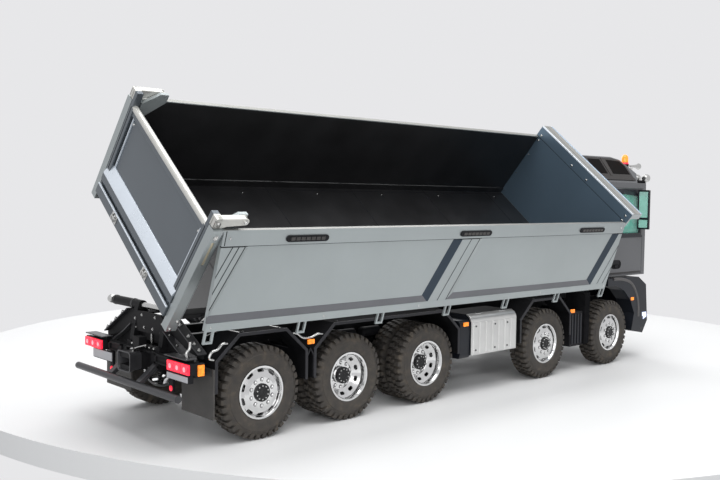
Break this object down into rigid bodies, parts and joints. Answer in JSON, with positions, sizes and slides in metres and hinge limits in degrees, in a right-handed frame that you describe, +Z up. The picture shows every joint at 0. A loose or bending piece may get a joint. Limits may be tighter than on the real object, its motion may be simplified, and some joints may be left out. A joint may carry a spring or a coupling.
{
  "type": "scale model dump truck",
  "caption": "Scale model of a tipper truck with its bed tipped to one side, side walls, tailgate, cab, steered and driven wheels.",
  "frame": {"origin": "middle of the trailer coupling's upright pin hole, between the jaw's lips", "axes": "+X forward, +Y to the truck left, +Z up"},
  "size_m": [0.69, 0.2442, 0.2823],
  "materials": {
    "black_frame": "satin black",
    "bright_steel": "turned",
    "cast_grey": "cast",
    "lamp_lens": "lit lens",
    "black_plastic": "satin",
    "flap_rubber": "matt",
    "silver_locker": "satin",
    "spring_steel": "satin",
    "bed_paint": "metallic grey",
    "bed_lining": "satin black",
    "cab_paint": "satin grey",
    "tinted_glass": "tinted",
    "cab_trim": "grained",
    "amber_lens": "lens",
    "tyre_rubber": "dusty",
    "polished_alloy": "polished"
  },
  "bodies": {
    "chassis": {"frame": "black_frame", "tipping_subframe": "black_frame", "bed_journals": "bright_steel", "driveline": "cast_grey", "underrun_bar": "black_frame", "tow_coupling": "black_frame", "lamps": "lamp_lens", "mudguards": "black_plastic", "mud_flaps": "flap_rubber", "toolbox": "silver_locker", "side_tanks": "black_plastic", "front_bumper": "black_plastic", "axles": "black_frame", "leaf_springs": "spring_steel"},
    "bed": {"bed_floor": "bed_lining", "bed_front_wall": "bed_paint", "bed_posts": "bed_paint"},
    "tailgate": {"tailgate": "bed_paint"},
    "side_wall_right": {"side_wall_right": "bed_paint"},
    "side_wall_left": {"side_wall_left": "bed_paint"},
    "ram_barrel": {"ram_barrel": "black_frame"},
    "ram_stage": {"ram_stage": "bright_steel"},
    "ram_rod": {"ram_rod": "bright_steel"},
    "cab": {"cab_shell": "cab_paint", "windscreen": "tinted_glass", "cab_interior": "cab_trim", "cab_grille": "black_plastic", "roof_gear": "amber_lens"},
    "door_right": {"door_right": "cab_paint", "door_glass_right": "tinted_glass", "mirror_right": "black_plastic"},
    "door_left": {"door_left": "cab_paint", "door_glass_left": "tinted_glass", "mirror_left": "black_plastic"},
    "knuckle_1_right": {"knuckle_1_right": "cast_grey"},
    "wheel_1_right": {"tyre_1_right": "tyre_rubber", "rim_1_right": "polished_alloy"},
    "knuckle_1_left": {"knuckle_1_left": "cast_grey"},
    "wheel_1_left": {"tyre_1_left": "tyre_rubber", "rim_1_left": "polished_alloy"},
    "knuckle_2_right": {"knuckle_2_right": "cast_grey"},
    "wheel_2_right": {"tyre_2_right": "tyre_rubber", "rim_2_right": "polished_alloy"},
    "knuckle_2_left": {"knuckle_2_left": "cast_grey"},
    "wheel_2_left": {"tyre_2_left": "tyre_rubber", "rim_2_left": "polished_alloy"},
    "wheel_3_right": {"tyres_3_right": "tyre_rubber", "rim_3_right": "polished_alloy"},
    "wheel_3_left": {"tyres_3_left": "tyre_rubber", "rim_3_left": "polished_alloy"},
    "wheel_4_right": {"tyres_4_right": "tyre_rubber", "rim_4_right": "polished_alloy"},
    "wheel_4_left": {"tyres_4_left": "tyre_rubber", "rim_4_left": "polished_alloy"},
    "knuckle_5_right": {"knuckle_5_right": "cast_grey"},
    "wheel_5_right": {"tyre_5_right": "tyre_rubber", "rim_5_right": "polished_alloy"},
    "knuckle_5_left": {"knuckle_5_left": "cast_grey"},
    "wheel_5_left": {"tyre_5_left": "tyre_rubber", "rim_5_left": "polished_alloy"}
  },
  "joints": [
    {"name": "bed_tip", "type": "hinge", "parent": "chassis", "child": "bed", "pos_m": [0.261, -0.077, 0.042], "axis": [1, 0, 0], "range_deg": [-40, 5]},
    {"name": "right_wall_swing", "type": "hinge", "parent": "bed", "child": "side_wall_right", "pos_m": [0.261, -0.13562, 0.1103], "axis": [-1, 0, 0], "range_deg": [-22, 38]},
    {"name": "left_wall_swing", "type": "hinge", "parent": "bed", "child": "side_wall_left", "pos_m": [0.261, -0.01611, 0.21058], "axis": [1, 0, 0], "range_deg": [0, 60]},
    {"name": "tailgate_swing", "type": "hinge", "parent": "bed", "child": "tailgate", "pos_m": [0.012, -0.08165, 0.16733], "axis": [0, 0.766, 0.6428], "range_deg": [0, 70]},
    {"name": "ram_lean", "type": "hinge", "parent": "chassis", "child": "ram_barrel", "pos_m": [0.305, 0, 0.016], "axis": [1, 0, 0], "range_deg": [-13.36, 1.67]},
    {"name": "ram_stage_slide", "type": "slide", "parent": "ram_barrel", "child": "ram_stage", "axis": [0, -0.231, 0.973], "range_m": [-0.02582, 0.00323]},
    {"name": "ram_rod_slide", "type": "slide", "parent": "ram_stage", "child": "ram_rod", "axis": [0, -0.231, 0.973], "range_m": [-0.02582, 0.00323]},
    {"name": "cab_tilt", "type": "hinge", "parent": "chassis", "child": "cab", "pos_m": [0.659, 0, 0.042], "axis": [0, 1, 0], "range_deg": [0, 55]},
    {"name": "door_right_swing", "type": "hinge", "parent": "cab", "child": "door_right", "pos_m": [0.6556, -0.08, 0.09875], "axis": [0, 0, 1], "range_deg": [0, 65]},
    {"name": "door_left_swing", "type": "hinge", "parent": "cab", "child": "door_left", "pos_m": [0.6556, 0.08, 0.09875], "axis": [0, 0, -1], "range_deg": [0, 65]},
    {"name": "steer_1_right", "type": "hinge", "parent": "chassis", "child": "knuckle_1_right", "pos_m": [0.576, -0.064, -0.021], "axis": [0, 0, 1], "range_deg": [-25, 25]},
    {"name": "roll_1_right", "type": "hinge", "parent": "knuckle_1_right", "child": "wheel_1_right", "pos_m": [0.576, -0.0765, -0.021], "axis": [0, 1, 0], "continuous": true},
    {"name": "steer_1_left", "type": "hinge", "parent": "chassis", "child": "knuckle_1_left", "pos_m": [0.576, 0.064, -0.021], "axis": [0, 0, 1], "range_deg": [-25, 25]},
    {"name": "roll_1_left", "type": "hinge", "parent": "knuckle_1_left", "child": "wheel_1_left", "pos_m": [0.576, 0.0765, -0.021], "axis": [0, 1, 0], "continuous": true},
    {"name": "steer_2_right", "type": "hinge", "parent": "chassis", "child": "knuckle_2_right", "pos_m": [0.447, -0.064, -0.021], "axis": [0, 0, 1], "range_deg": [-18, 18]},
    {"name": "roll_2_right", "type": "hinge", "parent": "knuckle_2_right", "child": "wheel_2_right", "pos_m": [0.447, -0.0765, -0.021], "axis": [0, 1, 0], "continuous": true},
    {"name": "steer_2_left", "type": "hinge", "parent": "chassis", "child": "knuckle_2_left", "pos_m": [0.447, 0.064, -0.021], "axis": [0, 0, 1], "range_deg": [-18, 18]},
    {"name": "roll_2_left", "type": "hinge", "parent": "knuckle_2_left", "child": "wheel_2_left", "pos_m": [0.447, 0.0765, -0.021], "axis": [0, 1, 0], "continuous": true},
    {"name": "roll_3_right", "type": "hinge", "parent": "chassis", "child": "wheel_3_right", "pos_m": [0.261, -0.06375, -0.021], "axis": [0, 1, 0], "continuous": true},
    {"name": "roll_3_left", "type": "hinge", "parent": "chassis", "child": "wheel_3_left", "pos_m": [0.261, 0.06375, -0.021], "axis": [0, 1, 0], "continuous": true},
    {"name": "roll_4_right", "type": "hinge", "parent": "chassis", "child": "wheel_4_right", "pos_m": [0.1625, -0.06375, -0.021], "axis": [0, 1, 0], "continuous": true},
    {"name": "roll_4_left", "type": "hinge", "parent": "chassis", "child": "wheel_4_left", "pos_m": [0.1625, 0.06375, -0.021], "axis": [0, 1, 0], "continuous": true},
    {"name": "steer_5_right", "type": "hinge", "parent": "chassis", "child": "knuckle_5_right", "pos_m": [0.067, -0.064, -0.021], "axis": [0, 0, 1], "range_deg": [-12.5, 12.5]},
    {"name": "roll_5_right", "type": "hinge", "parent": "knuckle_5_right", "child": "wheel_5_right", "pos_m": [0.067, -0.0765, -0.021], "axis": [0, 1, 0], "continuous": true},
    {"name": "steer_5_left", "type": "hinge", "parent": "chassis", "child": "knuckle_5_left", "pos_m": [0.067, 0.064, -0.021], "axis": [0, 0, 1], "range_deg": [-12.5, 12.5]},
    {"name": "roll_5_left", "type": "hinge", "parent": "knuckle_5_left", "child": "wheel_5_left", "pos_m": [0.067, 0.0765, -0.021], "axis": [0, 1, 0], "continuous": true}
  ],
  "couplings": [
    {"joint": "ram_lean", "follows": "bed_tip", "ratio": 0.33387},
    {"joint": "ram_stage_slide", "follows": "bed_tip", "m_per_rad": 0.036981},
    {"joint": "ram_rod_slide", "follows": "bed_tip", "m_per_rad": 0.036981},
    {"joint": "steer_1_left", "follows": "steer_1_right", "ratio": 1},
    {"joint": "steer_2_right", "follows": "steer_1_right", "ratio": 0.72},
    {"joint": "steer_2_left", "follows": "steer_1_right", "ratio": 0.72},
    {"joint": "steer_5_right", "follows": "steer_1_right", "ratio": -0.5},
    {"joint": "steer_5_left", "follows": "steer_1_right", "ratio": -0.5}
  ]
}
